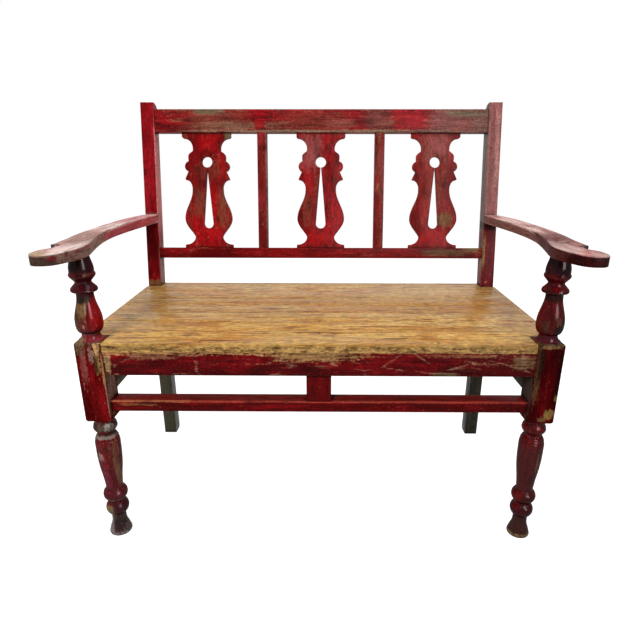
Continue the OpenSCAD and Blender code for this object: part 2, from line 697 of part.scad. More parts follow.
module front_stretcher() color(red) difference() {
    union() {
        translate([-inner_leg_x, strut_y, stretcher_z])
            cube([2 * inner_leg_x, stretcher_d, stretcher_h]);
        front_stretcher_tenon();
        on_left() front_stretcher_tenon();
    }
    leg_pegs(peg_gap);
    on_left() leg_pegs(peg_gap);
    strut_tongues(joint_gap);
}

module centre_strut() color(red) {
    translate([-strut_w / 2, strut_y, strut_z]) cube([strut_w, strut_d, rail_z - strut_z]);
    strut_tongues();
}

module side_stretcher() color(grey_wood) {
    translate([side_stretcher_x, front_y + leg_sq, side_stretcher_z])
        cube([side_stretcher_t, seat_run - leg_sq, stretcher_h]);
    side_stretcher_tenons();
}
module side_stretcher_right() side_stretcher();
module side_stretcher_left() on_left() side_stretcher();

module rear_stretcher() color(grey_wood) {
    translate([-inner_post_x, rear_stretcher_y, stretcher_z])
        cube([2 * inner_post_x, apron_t, stretcher_h]);
    rear_stretcher_tenon();
    on_left() rear_stretcher_tenon();
}

module back_frame_pegs() color(grey_wood) for (side = [0, 1])
    mirror([side, 0, 0]) raked() raked_pegs();
module seat_frame_pegs() color(grey_wood) for (side = [0, 1]) mirror([side, 0, 0]) {
    leg_pegs();
    post_pegs();
}

front_leg_left();
front_leg_right();
rear_post_left();
rear_post_right();
crest_rail();
lower_back_rail();
back_mullion_left();
back_mullion_right();
splat_left();
splat_centre();
splat_right();
arm_left();
arm_right();
arm_wedges();
front_apron();
back_seat_rail();
side_seat_rail_left();
side_seat_rail_right();
seat_bearer();
seat_board_front();
seat_board_second();
seat_board_third();
seat_board_back();
front_stretcher();
centre_strut();
side_stretcher_left();
side_stretcher_right();
rear_stretcher();
back_frame_pegs();
seat_frame_pegs();
seat_nails();
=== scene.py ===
import math

import bpy
from mathutils import Matrix, Vector


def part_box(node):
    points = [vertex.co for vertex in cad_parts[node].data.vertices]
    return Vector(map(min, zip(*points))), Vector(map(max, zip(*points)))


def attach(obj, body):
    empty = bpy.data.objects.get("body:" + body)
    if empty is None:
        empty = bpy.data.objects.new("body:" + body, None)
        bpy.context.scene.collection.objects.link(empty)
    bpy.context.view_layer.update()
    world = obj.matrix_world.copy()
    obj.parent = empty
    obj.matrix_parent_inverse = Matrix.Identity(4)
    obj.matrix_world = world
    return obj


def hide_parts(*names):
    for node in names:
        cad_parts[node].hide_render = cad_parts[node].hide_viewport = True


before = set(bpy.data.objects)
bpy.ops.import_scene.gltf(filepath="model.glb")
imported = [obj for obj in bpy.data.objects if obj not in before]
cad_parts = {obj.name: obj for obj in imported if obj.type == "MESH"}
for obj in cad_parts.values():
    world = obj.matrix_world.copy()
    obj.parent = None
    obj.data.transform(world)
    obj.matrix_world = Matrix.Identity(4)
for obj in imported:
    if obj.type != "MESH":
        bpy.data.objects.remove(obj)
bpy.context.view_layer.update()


# Front legs

# Each front leg is one turned post of pine from the floor to the arm, left
# square in the middle for the joints. It carries old crimson paint, rubbed
# silver-grey on the rings and nearly bare at the foot; the turnings also carry painted glints and painted
# shade.

def tone(code):
    """A paint-card colour such as "#8c1016", as the shader wants it."""
    parts = [int(code[i:i + 2], 16) / 255 for i in (1, 3, 5)]
    return [c / 12.92 if c < 0.04045 else ((c + 0.055) / 1.055) ** 2.4 for c in parts] + [1]


def lay(tree, kind, sockets=None, **settings):
    """One shader node, its settings and sockets filled in, or joined where a socket is given."""
    spot = tree.nodes.new(kind)
    for key, value in settings.items():
        setattr(spot, key, value)
    for key, value in (sockets or {}).items():
        if isinstance(value, bpy.types.NodeSocket):
            tree.links.new(value, spot.inputs[key])
        else:
            spot.inputs[key].default_value = value
    return spot


def calc(tree, work, a, b=0.0, c=0.0, clamp=False):
    """One step of arithmetic on masks or noises."""
    return lay(tree, "ShaderNodeMath", {0: a, 1: b, 2: c}, operation=work, use_clamp=clamp).outputs[0]


def aim(tree, work, a, b=(0, 0, 0)):
    """One step of arithmetic on places or directions."""
    made = lay(tree, "ShaderNodeVectorMath", {0: a, 1: b}, operation=work).outputs
    return made["Value" if work in ("LENGTH", "DOT_PRODUCT") else "Vector"]


def span(tree, value, low, high, to_low=0.0, to_high=1.0):
    """value stretched smoothly from low..high to to_low..to_high."""
    return lay(tree, "ShaderNodeMapRange", {"Value": value, "From Min": low, "From Max": high,
               "To Min": to_low, "To Max": to_high}, interpolation_type="SMOOTHSTEP").outputs[0]


def coat(tree, amount, under, over):
    """One colour laid over another where amount is high."""
    return lay(tree, "ShaderNodeMix", {0: amount, 6: under, 7: over}, data_type="RGBA").outputs[2]


def film(tree, mask, most, under, over):
    """A coat that is never thicker than most."""
    return coat(tree, calc(tree, "MULTIPLY", mask, most), under, over)


def shaded(tree, colour, light):
    """A colour made lighter or darker."""
    return lay(tree, "ShaderNodeVectorMath", {0: colour, "Scale": light}, operation="SCALE").outputs[0]


def recipe(name, places, numbers, gives):
    """An empty node group, which takes places and numbers and gives numbers, each by name."""
    group = bpy.data.node_groups.new(name, "ShaderNodeTree")
    for label in places:
        group.interface.new_socket(label, in_out="INPUT", socket_type="NodeSocketVector")
    for label in numbers:
        group.interface.new_socket(label, in_out="INPUT", socket_type="NodeSocketFloat")
    for label in gives:
        group.interface.new_socket(label, in_out="OUTPUT", socket_type="NodeSocketFloat")
    return group, group.nodes.new("NodeGroupInput").outputs, group.nodes.new("NodeGroupOutput").inputs


def grain_noise(tree, vector, along, across, detail, rough=0.55, warp=0.0):
    """Noise drawn out along the grain, in cycles a metre along and across it."""
    drawn = lay(tree, "ShaderNodeMapping", {"Vector": vector, "Scale": (along, across, across)}).outputs[0]
    return lay(tree, "ShaderNodeTexNoise", {"Vector": drawn, "Scale": 1.0, "Detail": detail,
               "Roughness": rough, "Distortion": warp}).outputs[0]


# The grain of a pine board that runs along X, from its broad figure down to its grit:
# each one's cycles a metre along and across, its detail, roughness and warp
strands = {"Figure": (2.6, 26, 3, 0.5, 0.4), "Streak": (13, 150, 4, 0.62, 0.3), "Fibre": (30, 560, 2),
           "Speck": (120, 330, 3, 0.65), "Grit": (170, 240, 5, 0.78)}
pine_grain, given, result = recipe("pine grain", ("Vector",), (), strands)
for label, strand in strands.items():
    pine_grain.links.new(grain_noise(pine_grain, given["Vector"], *strand), result[label])

# A worn or faded patch round a centre, its border torn along the grain
torn_patch, given, result = recipe("torn patch", ("Vector", "Centre", "Reach"),
                                   ("Tear", "Ragged", "Soft", "Strength"), ("Patch",))
tree = torn_patch
off = aim(tree, "SUBTRACT", given["Vector"], given["Centre"])
off = aim(tree, "DIVIDE", off, given["Reach"])
off = aim(tree, "LENGTH", aim(tree, "MULTIPLY", off, off))
depth = calc(tree, "SUBTRACT", 1.0, calc(tree, "SQRT", off))
depth = calc(tree, "MULTIPLY_ADD", calc(tree, "SUBTRACT", given["Tear"], 0.5), given["Ragged"], depth)
cover = calc(tree, "MULTIPLY", span(tree, depth, 0.0, given["Soft"]), given["Strength"])
tree.links.new(cover, result["Patch"])

# Where hands and cloth have rubbed an arris, broken up by the grain
rubbed_arris, given, result = recipe("rubbed arris", (), ("Reach", "Tear", "Rubbing"), ("Rubbed",))
tree = rubbed_arris
rounded = lay(tree, "ShaderNodeBevel", {"Radius": given["Reach"]}, samples=6).outputs[0]
facing = lay(tree, "ShaderNodeNewGeometry").outputs["Normal"]
turn = calc(tree, "SUBTRACT", 1.0, aim(tree, "DOT_PRODUCT", rounded, facing))
broken = calc(tree, "MULTIPLY_ADD", given["Tear"], 1.6, given["Rubbing"])
turn = calc(tree, "MULTIPLY_ADD", turn, 2.4, broken)
tree.links.new(span(tree, turn, 1.15, 1.6), result["Rubbed"])

# Painted shade in corners and grooves, with the soot and wax caught there
corner_shade_and_grime, given, result = recipe("corner shade and grime", (), ("Depth", "Tear"), ("Shade and grime",))
tree = corner_shade_and_grime
open_sky = lay(tree, "ShaderNodeAmbientOcclusion", {"Distance": given["Depth"]}, samples=6).outputs["AO"]
shut = calc(tree, "SUBTRACT", 1.0, open_sky)
tree.links.new(span(tree, calc(tree, "MULTIPLY_ADD", given["Tear"], 0.5, shut), 0.4, 0.85), result["Shade and grime"])


def blank_material(name):
    """A material with nothing in it yet, and its node tree."""
    material = bpy.data.materials.new(name)
    material.use_nodes = True
    material.node_tree.nodes.clear()
    return material, material.node_tree


GRAIN_TURN = {"x": (0, 0, 0), "y": (0, 0, -math.pi / 2), "z": (0, math.pi / 2, 0)}


def grained(tree, along, shift):
    """Places on the bench, the same turned so that the grain runs along X, and the grain there."""
    place = lay(tree, "ShaderNodeTexCoord").outputs["Object"]
    run = lay(tree, "ShaderNodeMapping", {"Vector": place, "Rotation": GRAIN_TURN[along],
              "Location": shift}).outputs[0]
    return place, run, lay(tree, "ShaderNodeGroup", {"Vector": run}, node_tree=pine_grain).outputs


def worn_patch(tree, place, tear, centre, reach, ragged, soft, strength):
    """How much a torn patch covers each place."""
    return lay(tree, "ShaderNodeGroup", {"Vector": place, "Tear": tear, "Centre": centre, "Reach": reach,
               "Ragged": ragged, "Soft": soft, "Strength": strength}, node_tree=torn_patch).outputs[0]


def shade_and_grime(tree, depth, tear):
    """How much painted shade, with soot, the corners within this depth get."""
    return lay(tree, "ShaderNodeGroup", {"Depth": depth, "Tear": tear}, node_tree=corner_shade_and_grime).outputs[0]


def skin_of(tree, colour, rough, shine, height, relief, relief_depth):
    """The outside of a material: colour, roughness and shine over a fine relief."""
    bump = lay(tree, "ShaderNodeBump", {"Strength": relief, "Distance": relief_depth, "Height": height})
    skin = lay(tree, "ShaderNodeBsdfPrincipled", {"Base Color": colour, "Roughness": rough,
               "Normal": bump.outputs[0], "Specular IOR Level": shine})
    lay(tree, "ShaderNodeOutputMaterial", {"Surface": skin.outputs[0]})
    return skin


# A front leg's axis, and the middle and half height of its square block
low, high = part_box("front_leg_right")
LEG_X, LEG_Y = ((low + high) / 2).xy
BLOCK_Z, BLOCK_END = 0.3615, 0.081


def old_paint(name, along, shift, paint, patches=(), rub=0.004, rubbing=0.0, thin=0.3, soot=0.3,
              craze=0.0, wood=("#4a2a1e", "#80553c"), rubbed_to=None, gloss=0.36, shine=0.03, turned=None,
              tooth=2.2, fleck=0.3, lines=0.0, wax=0.0):
    """Old oil paint on pine. paint is its deep, main and bright colour. patches are
    (centre, reach, colour, ragged, soft, strength) in the bench's own metres. rub is how far
    the rubbing of the arrises reaches, and rubbing how strong it is. thin, soot, craze, lines
    and fleck give the share of bare wood, soot, pale cracks, dark cracks and pale flecks.
    tooth is the contrast of the grit and gloss the roughness. turned is a turned leg's axis,
    and the radius, colour and strength of the wear and painted glint on its rings; wax is their polish."""
    material, tree = blank_material(name)
    place, run, grain = grained(tree, along, shift)
    streak, fibre, speck, grit = (grain[k] for k in ("Streak", "Fibre", "Speck", "Grit"))
    scuff = grain_noise(tree, run, 42, 150, 4, 0.7)
    torn = calc(tree, "MULTIPLY_ADD", scuff, 0.25, calc(tree, "MULTIPLY", grit, 0.35))
    torn = calc(tree, "MULTIPLY_ADD", streak, 0.25, torn)
    torn = calc(tree, "MULTIPLY_ADD", fibre, 0.15, torn)
    # Colours of the bare wood and of the paint over it
    bare = coat(tree, span(tree, torn, 0.42, 0.58), tone(wood[0]), tone(wood[1]))
    deep, main, bright = (tone(c) for c in paint)
    brushed = grain_noise(tree, run, 7, 30, 3, 0.5, 0.6)
    colour = coat(tree, span(tree, brushed, 0.4, 0.54), deep, main)
    stroke = calc(tree, "MULTIPLY_ADD", brushed, 0.5, calc(tree, "MULTIPLY", scuff, 0.5))
    colour = coat(tree, span(tree, stroke, 0.52, 0.6), colour, bright)
    # Thin paint lets the brown wood show along the grain
    worn = calc(tree, "MULTIPLY", grain_noise(tree, run, 11, 40, 4, 0.6), 0.4)
    worn = calc(tree, "MULTIPLY_ADD", torn, 0.6, worn)
    thinned = span(tree, calc(tree, "ADD", worn, thin * 0.1), 0.545, 0.6)
    colour = film(tree, thinned, 0.7, colour, bare)
    for centre, reach, shade, ragged, soft, strength in patches:
        patch = worn_patch(tree, place, torn, centre, reach, ragged, soft, strength)
        colour = coat(tree, patch, colour, tone(shade))
    rubbed = lay(tree, "ShaderNodeGroup", {"Reach": rub, "Tear": torn, "Rubbing": rubbing},
                 node_tree=rubbed_arris).outputs[0]
    colour = film(tree, rubbed, 0.85, colour, tone(rubbed_to) if rubbed_to else bare)
    if turned:
        # Rings that stand out are rubbed pale, and the same pale paints a glint on their lips
        axis_x, ring_radius, ring_wear_and_glint_colour, ring_strength = turned
        flat = aim(tree, "MULTIPLY", aim(tree, "SUBTRACT", place, (axis_x, LEG_Y, 0)), (1, 1, 0))
        radius = aim(tree, "LENGTH", flat)
        level = lay(tree, "ShaderNodeSeparateXYZ", {0: place}).outputs["Z"]
        level = calc(tree, "ABSOLUTE", calc(tree, "SUBTRACT", level, BLOCK_Z))
        off_block = span(tree, level, BLOCK_END, BLOCK_END + 0.003)
        proud = calc(tree, "MULTIPLY_ADD", calc(tree, "SUBTRACT", torn, 0.5), 0.03, radius)
        ring_wear_and_glint = calc(tree, "MULTIPLY", span(tree, proud, ring_radius, ring_radius + 0.002), off_block)
        colour = film(tree, ring_wear_and_glint, ring_strength, colour, tone(ring_wear_and_glint_colour))
    # Soot and old wax in spots, and painted shade with grime in the corners
    spots = grain_noise(tree, run, 22, 60, 4, 0.7)
    spots = calc(tree, "MULTIPLY_ADD", spots, 0.6, calc(tree, "MULTIPLY", grit, 0.4))
    spots = span(tree, calc(tree, "ADD", spots, soot * 0.12), 0.55, 0.66)
    colour = film(tree, spots, 0.75, colour, tone("#260d0a"))
    colour = film(tree, shade_and_grime(tree, 0.014, torn), 0.9, colour, tone("#170a08"))
    if craze:
        # Long cracks in the paint, pale where it has lifted
        bent = lay(tree, "ShaderNodeMapping", {"Vector": run, "Scale": (9, 26, 26),
                   "Rotation": (0, 0.25, 0.2)}).outputs[0]
        swirl = lay(tree, "ShaderNodeTexNoise",
                    {"Vector": bent, "Scale": 1.7, "Detail": 4.0}).outputs["Color"]
        bent = lay(tree, "ShaderNodeMix", {0: 0.14, 4: bent, 5: swirl}, data_type="VECTOR").outputs[1]
        lift = lay(tree, "ShaderNodeTexVoronoi", {"Vector": bent, "Scale": 1.0},
                   feature="DISTANCE_TO_EDGE").outputs["Distance"]
        lift = calc(tree, "MULTIPLY", span(tree, lift, 0.035, 0.0), span(tree, scuff, 0.47, 0.56))
        colour = film(tree, lift, craze, colour, tone("#b58e72"))
    if lines:
        # Fine dark weather cracks along the grain
        dry = span(tree, grain_noise(tree, run, 11, 300, 3, 0.6), 0.52, 0.62)
        colour = film(tree, dry, lines, colour, tone("#2c1512"))
    # Pale flecks, and the light and dark of the grit over everything
    colour = film(tree, span(tree, speck, 0.655, 0.7), fleck, colour, tone("#b98e7c"))
    light = calc(tree, "MULTIPLY_ADD", streak, tooth * 0.54, 1 - tooth * 0.77)
    light = calc(tree, "MAXIMUM", calc(tree, "MULTIPLY_ADD", grit, tooth, light), 0.4)
    rough = calc(tree, "MULTIPLY_ADD", grit, 0.3, gloss - 0.15)
    rough = calc(tree, "MULTIPLY_ADD", thinned, 0.15, rough, clamp=True)
    height = calc(tree, "MULTIPLY_ADD", fibre, 0.25, streak)
    height = calc(tree, "MULTIPLY_ADD", grit, 0.6, height)
    height = calc(tree, "MULTIPLY_ADD", thinned, -0.4, height)
    skin = skin_of(tree, shaded(tree, colour, light), rough, shine, height, 0.5, 0.001)
    if turned:
        # Wax and handling have left a thin polish on the turnings
        tree.links.new(calc(tree, "MULTIPLY", off_block, wax), skin.inputs["Coat Weight"])
        skin.inputs["Coat Roughness"].default_value = 0.19
    return material


def pick(piece):
    """Selects only this piece, and makes it the active one."""
    bpy.ops.object.select_all(action="DESELECT")
    piece.select_set(True)
    bpy.context.view_layer.objects.active = piece


# Faces that meet at a smaller angle than this are one round surface
ROUND_ANGLE = math.radians(38)


def planed(node, arris, finish, rows=3):
    """A copy of a sawn or turned piece, its sharp arrises rubbed round by the plane and by use."""
    same_place, still_flat, sharp = 0.00001, math.radians(0.3), math.radians(30)
    piece = bpy.data.objects.new(node + "_planed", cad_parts[node].data.copy())
    bpy.context.scene.collection.objects.link(piece)
    pick(piece)
    bpy.ops.object.mode_set(mode="EDIT")
    bpy.ops.mesh.select_all(action="SELECT")
    bpy.ops.mesh.remove_doubles(threshold=same_place)
    bpy.ops.mesh.dissolve_limited(angle_limit=still_flat)
    bpy.ops.object.mode_set(mode="OBJECT")
    if arris:
        rub = piece.modifiers.new("rubbed arrises", "BEVEL")
        rub.width, rub.segments, rub.limit_method = arris, rows, "ANGLE"
        rub.angle_limit = sharp
        bpy.ops.object.modifier_apply(modifier=rub.name)
    bpy.ops.object.shade_smooth_by_angle(angle=ROUND_ANGLE)
    piece.data.materials.clear()
    piece.data.materials.append(finish)
    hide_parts(node)
    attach(piece, "root")
    return piece


leg_left_paint = old_paint(
    "crimson of the left leg", "z", (0.3, 0.1, 0.2), ("#520809", "#680c0e", "#821015"),
    [  # the taper below the block
     ((-0.438, -0.212, 0.17), (0.012, 0.03, 0.06), "#7e1a22", 1.4, 0.6, 0.6),
     ((-0.4345, -0.21, 0.15), (0.007, 0.02, 0.05), "#7a1f38", 4.0, 0.5, 0.6),
     ((-0.4155, -0.2075, 0.172), (0.0052, 0.02, 0.062), "#8d6448", 4.5, 0.4, 0.8),
     ((-0.417, -0.208, 0.2), (0.008, 0.02, 0.03), "#6a2a20", 7.0, 0.3, 0.6),
     # its neck and pale ring
     ((-0.433, -0.2, 0.259), (0.05, 0.05, 0.014), "#584a3d", 2.4, 0.5, 0.85),
     ((-0.436, -0.21, 0.25), (0.013, 0.03, 0.007), "#7a1a1c", 4.0, 0.4, 0.8),
     ((-0.447, -0.205, 0.262), (0.009, 0.03, 0.011), "#2a1d16", 4.0, 0.4, 0.8),
     ((-0.42, -0.21, 0.262), (0.007, 0.02, 0.009), "#a39a90", 5.0, 0.4, 0.7),
     ((-0.433, -0.2, 0.2455), (0.05, 0.05, 0.0032), "#2a1512", 2.0, 0.4, 0.8),
     ((-0.433, -0.2, 0.2385), (0.05, 0.05, 0.004), "#8d8279", 4.5, 0.4, 0.75),
     # the two rings over the foot
     ((-0.446, -0.205, 0.06), (0.02, 0.035, 0.017), "#7f6b4c", 1.8, 0.4, 0.9),
     ((-0.418, -0.2, 0.063), (0.02, 0.04, 0.02), "#35131c", 1.6, 0.4, 0.9),
     ((-0.433, -0.2, 0.099), (0.06, 0.06, 0.02), "#541720", 2.8, 0.5, 0.9),
     ((-0.433, -0.2, 0.0885), (0.06, 0.06, 0.003), "#a58a7c", 3.4, 0.5, 0.65),
     # scratches on the taper
     ((-0.441, -0.21, 0.196), (0.007, 0.02, 0.012), "#a98a80", 3.6, 0.5, 0.7),
     ((-0.4525, -0.2, 0.19), (0.007, 0.03, 0.045), "#2a1214", 2.6, 0.5, 0.7),
     ((-0.428, -0.21, 0.215), (0.006, 0.02, 0.012), "#4a1512", 2.6, 0.5, 0.7),
     # the foot, nearly bare
     ((-0.433, -0.2, 0.018), (0.07, 0.07, 0.036), "#5d534e", 1.2, 0.35, 0.95),
     ((-0.433, -0.21, 0.022), (0.018, 0.03, 0.016), "#4a1c26", 7.0, 0.2, 0.8),
     ((-0.43, -0.21, 0.03), (0.013, 0.02, 0.018), "#241616", 8.0, 0.2, 0.85),
     ((-0.445, -0.21, 0.02), (0.006, 0.02, 0.026), "#857c78", 5.0, 0.3, 0.8),
     ((-0.433, -0.2, 0.0), (0.07, 0.07, 0.008), "#8e8682", 2.8, 0.5, 0.8),
     # the arm support: all of its upper turnings, then the vase, olive at the left
     ((-0.433, -0.2, 0.575), (0.07, 0.07, 0.048), "#5a121a", 0.6, 0.3, 0.85),
     ((-0.45, -0.2, 0.5), (0.024, 0.05, 0.052), "#634c2c", 3.4, 0.3, 0.93),
     ((-0.4385, -0.21, 0.512), (0.006, 0.02, 0.034), "#7d5c3a", 5.0, 0.4, 0.8),
     ((-0.458, -0.2, 0.5), (0.008, 0.03, 0.045), "#3c3a20", 3.0, 0.5, 0.8),
     ((-0.447, -0.21, 0.486), (0.01, 0.03, 0.02), "#3f1a12", 5.0, 0.35, 0.85),
     ((-0.437, -0.215, 0.478), (0.01, 0.03, 0.018), "#641e17", 5.0, 0.35, 0.85),
     ((-0.434, -0.216, 0.476), (0.0035, 0.02, 0.0045), "#b5756a", 3.0, 0.4, 0.8),
     ((-0.4285, -0.21, 0.517), (0.0026, 0.02, 0.02), "#9a8468", 3.6, 0.5, 0.7),
     ((-0.4245, -0.21, 0.503), (0.002, 0.02, 0.032), "#3a0d0c", 2.6, 0.5, 0.8),
     ((-0.41, -0.195, 0.498), (0.0155, 0.04, 0.042), "#960912", 1.4, 0.35, 0.95),
     # the saucer under the vase, painted shade where the vase meets it, and the block's top
     ((-0.433, -0.2, 0.4625), (0.07, 0.07, 0.007), "#3a0f14", 1.4, 0.5, 0.8),
     ((-0.433, -0.2, 0.4505), (0.08, 0.08, 0.009), "#7c2229", 2.6, 0.5, 0.85),
     ((-0.433, -0.2, 0.4585), (0.07, 0.07, 0.0016), "#935a63", 2.4, 0.5, 0.6),
     ((-0.433, -0.192, 0.4425), (0.08, 0.08, 0.0034), "#4e3826", 2.4, 0.3, 0.85),
     # painted shade round the vase's top under the disc, and a grey stripe
     ((-0.441, -0.2, 0.532), (0.025, 0.06, 0.016), "#1c100d", 2.2, 0.4, 0.93),
     ((-0.4246, -0.205, 0.5315), (0.004, 0.02, 0.014), "#5b4f4c", 3.0, 0.5, 0.75),
     # the disc, and the bell over it in painted shade under the arm, darkest at its left
     ((-0.433, -0.2, 0.5435), (0.06, 0.06, 0.015), "#4a1019", 1.2, 0.4, 0.9),
     ((-0.433, -0.2, 0.563), (0.06, 0.06, 0.013), "#4c121a", 1.4, 0.4, 0.8),
     ((-0.4195, -0.2, 0.572), (0.01, 0.04, 0.006), "#84382a", 1.8, 0.5, 0.75),
     ((-0.441, -0.21, 0.594), (0.0195, 0.05, 0.022), "#150a0a", 0.8, 0.4, 0.97),
     ((-0.414, -0.2, 0.594), (0.0135, 0.05, 0.022), "#3a0d17", 0.8, 0.3, 0.9),
     # the square block, chipped at its top corners and along its inner arris
     ((-0.4265, -0.22, 0.42), (0.009, 0.03, 0.019), "#8c6d60", 6.0, 0.3, 0.85),
     ((-0.418, -0.22, 0.405), (0.0075, 0.03, 0.026), "#9a7648", 6.5, 0.3, 0.9),
     ((-0.4205, -0.22, 0.402), (0.005, 0.03, 0.02), "#2e1810", 6.5, 0.3, 0.85),
     ((-0.4165, -0.2225, 0.434), (0.008, 0.012, 0.0135), "#bb9563", 4.0, 0.3, 0.95),
     ((-0.4095, -0.22, 0.395), (0.0032, 0.03, 0.045), "#b08a5c", 3.2, 0.5, 0.85),
     ((-0.4088, -0.22, 0.33), (0.0022, 0.03, 0.05), "#9a6f58", 2.6, 0.5, 0.75),
     ((-0.448, -0.22, 0.434), (0.0125, 0.03, 0.02), "#7b664c", 5.5, 0.3, 0.88),
     ((-0.446, -0.22, 0.428), (0.009, 0.03, 0.014), "#3a2418", 6.5, 0.3, 0.75),
     ((-0.4445, -0.22, 0.40), (0.007, 0.03, 0.042), "#96564f", 5.5, 0.4, 0.55),
     # painted light: the block's inner face made pale as if lit
     ((-0.408, -0.19, 0.36), (0.003, 0.024, 0.082), "#cfa898", 2.2, 0.6, 0.95),
     # the tenon's end in the arm's top
     ((-0.433, -0.1923, 0.632), (0.03, 0.03, 0.0025), "#a08074", 1.2, 0.4, 0.95)],
    # the rubbed arrises are coloured pinkish, worn paint with a painted glint on the ring edges
    rubbing=0.03, thin=-0.4, soot=-0.1, rubbed_to="#96665c", gloss=0.32, shine=0.0,
    turned=(-LEG_X, 0.0256, "#8c706a", 0.4), tooth=2.5, lines=0.35, wax=0.16)
leg_right_paint = old_paint(
    "crimson of the right leg", "z", (0.7, 0.5, 0.9), ("#3a0508", "#50080b", "#660b0f"),
    [  # the taper, the bell under the arm and a brown streak
     ((0.433, -0.2, 0.17), (0.05, 0.05, 0.07), "#45191a", 0.8, 0.4, 0.7),
     ((0.433, -0.2, 0.592), (0.07, 0.07, 0.022), "#260a0e", 0.8, 0.4, 0.85),
     ((0.441, -0.21, 0.19), (0.003, 0.02, 0.03), "#7a5a3a", 3.0, 0.5, 0.6),
     # the vase, the saucer and the block's top
     ((0.433, -0.2, 0.534), (0.07, 0.07, 0.013), "#1f0508", 1.6, 0.5, 0.85),
     ((0.444, -0.212, 0.478), (0.013, 0.03, 0.019), "#1a0706", 5.0, 0.35, 0.85),
     ((0.441, -0.213, 0.487), (0.006, 0.02, 0.009), "#6a3a26", 6.0, 0.35, 0.75),
     ((0.417, -0.208, 0.478), (0.007, 0.03, 0.015), "#4a2418", 5.5, 0.35, 0.75),
     ((0.433, -0.2, 0.452), (0.08, 0.08, 0.008), "#4a1420", 1.8, 0.5, 0.75),
     ((0.433, -0.192, 0.4425), (0.08, 0.08, 0.0034), "#4c3b2a", 2.4, 0.3, 0.88),
     # the foot
     ((0.433, -0.2, 0.02), (0.07, 0.07, 0.036), "#3b1d19", 1.0, 0.4, 0.9),
     ((0.428, -0.21, 0.004), (0.04, 0.03, 0.006), "#7b6440", 2.6, 0.4, 0.8),
     # the square block, its chips honey-coloured
     ((0.446, -0.22, 0.3), (0.009, 0.02, 0.011), "#8f7040", 4.0, 0.3, 0.95),
     ((0.434, -0.22, 0.288), (0.01, 0.02, 0.006), "#7a5a36", 4.0, 0.4, 0.8),
     ((0.455, -0.22, 0.335), (0.004, 0.02, 0.008), "#9a7a48", 2.4, 0.4, 0.85),
     ((0.4135, -0.22, 0.387), (0.0075, 0.02, 0.066), "#8a6844", 6.5, 0.3, 0.88),
     ((0.4185, -0.22, 0.405), (0.006, 0.02, 0.04), "#1e0d0a", 6.0, 0.3, 0.85),
     ((0.413, -0.22, 0.395), (0.009, 0.02, 0.07), "#33110d", 9.0, 0.25, 0.75),
     ((0.434, -0.22, 0.4395), (0.022, 0.02, 0.0045), "#8a6a42", 4.4, 0.4, 0.85),
     ((0.454, -0.22, 0.38), (0.005, 0.02, 0.06), "#1d0a09", 2.2, 0.5, 0.8),
     ((0.408, -0.19, 0.36), (0.002, 0.03, 0.09), "#4f4640", 1.8, 0.5, 0.9),
     # the tenon's end
     ((0.433, -0.1923, 0.632), (0.03, 0.03, 0.0025), "#a08074", 1.2, 0.4, 0.95)],
    # the rubbed arrises are coloured darker pink, worn paint with a painted glint on the ring edges
    thin=-0.6, soot=-0.2, rubbed_to="#7a4a42", gloss=0.32, shine=0.0,
    turned=(LEG_X, 0.0256, "#6a4040", 0.3), fleck=0.2, lines=0.45, wax=0.14)


def block_arrises(piece, low, high):
    """Rubs round the four long arrises of the square block, which fills the leg's box."""
    width, shortest, close = 0.0022, 0.01, 0.0002
    pick(piece)
    bpy.ops.object.mode_set(mode="EDIT")
    bpy.ops.mesh.select_all(action="DESELECT")
    bpy.ops.object.mode_set(mode="OBJECT")
    mesh = piece.data
    for edge in mesh.edges:
        a, b = (mesh.vertices[i].co for i in edge.vertices)
        corner = (min(abs(a.x - low.x), abs(a.x - high.x)) < close
                  and min(abs(a.y - low.y), abs(a.y - high.y)) < close)
        edge.select = corner and abs(a.z - b.z) > shortest and (a.xy - b.xy).length < close
    bpy.ops.object.mode_set(mode="EDIT")
    bpy.ops.mesh.select_mode(type="EDGE")
    bpy.ops.mesh.bevel(offset=width, segments=3, affect="EDGES")
    bpy.ops.object.mode_set(mode="OBJECT")
    bpy.ops.object.shade_smooth_by_angle(angle=ROUND_ANGLE)


for node, finish in (("front_leg_left", leg_left_paint), ("front_leg_right", leg_right_paint)):
    block_arrises(planed(node, 0, finish), *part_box(node))


# Front apron, stretcher and strut

# The apron ties the legs under the seat; the stretcher below it is braced to
# it by a short strut. All are crimson, with the apron's top edge torn bare.
apron_paint = old_paint(
    "crimson of the apron", "x", (0.1, 0.6, 0.4), ("#4a080b", "#640b0f", "#821217"),
    [((0.0, -0.215, 0.4285), (0.6, 0.03, 0.004), "#9a7044", 4.5, 0.35, 0.8),
     ((-0.26, -0.215, 0.4285), (0.22, 0.03, 0.0082), "#ab7d50", 5.0, 0.35, 0.85),
     ((0.0, -0.215, 0.432), (0.1, 0.03, 0.024), "#a07c4e", 5.0, 0.35, 0.9),
     ((-0.4, -0.215, 0.40), (0.007, 0.03, 0.022), "#a08058", 3.4, 0.4, 0.9),
     ((-0.3164, -0.215, 0.417), (0.05, 0.03, 0.007), "#93694c", 4.5, 0.4, 0.45),
     ((0.385, -0.215, 0.408), (0.025, 0.03, 0.016), "#806040", 4.4, 0.4, 0.8),
     ((0.27, -0.215, 0.42), (0.08, 0.03, 0.004), "#8f6a48", 4.2, 0.4, 0.5),
     ((0.24, -0.215, 0.383), (0.03, 0.03, 0.004), "#7c7a58", 2.6, 0.4, 0.6)],
    rubbing=-0.02, thin=-0.15, soot=0.15, craze=0.4, wood=("#542a1f", "#8a5a44"), lines=0.4,
    tooth=3.0, gloss=0.4)
planed("front_apron", 0.0015, apron_paint)
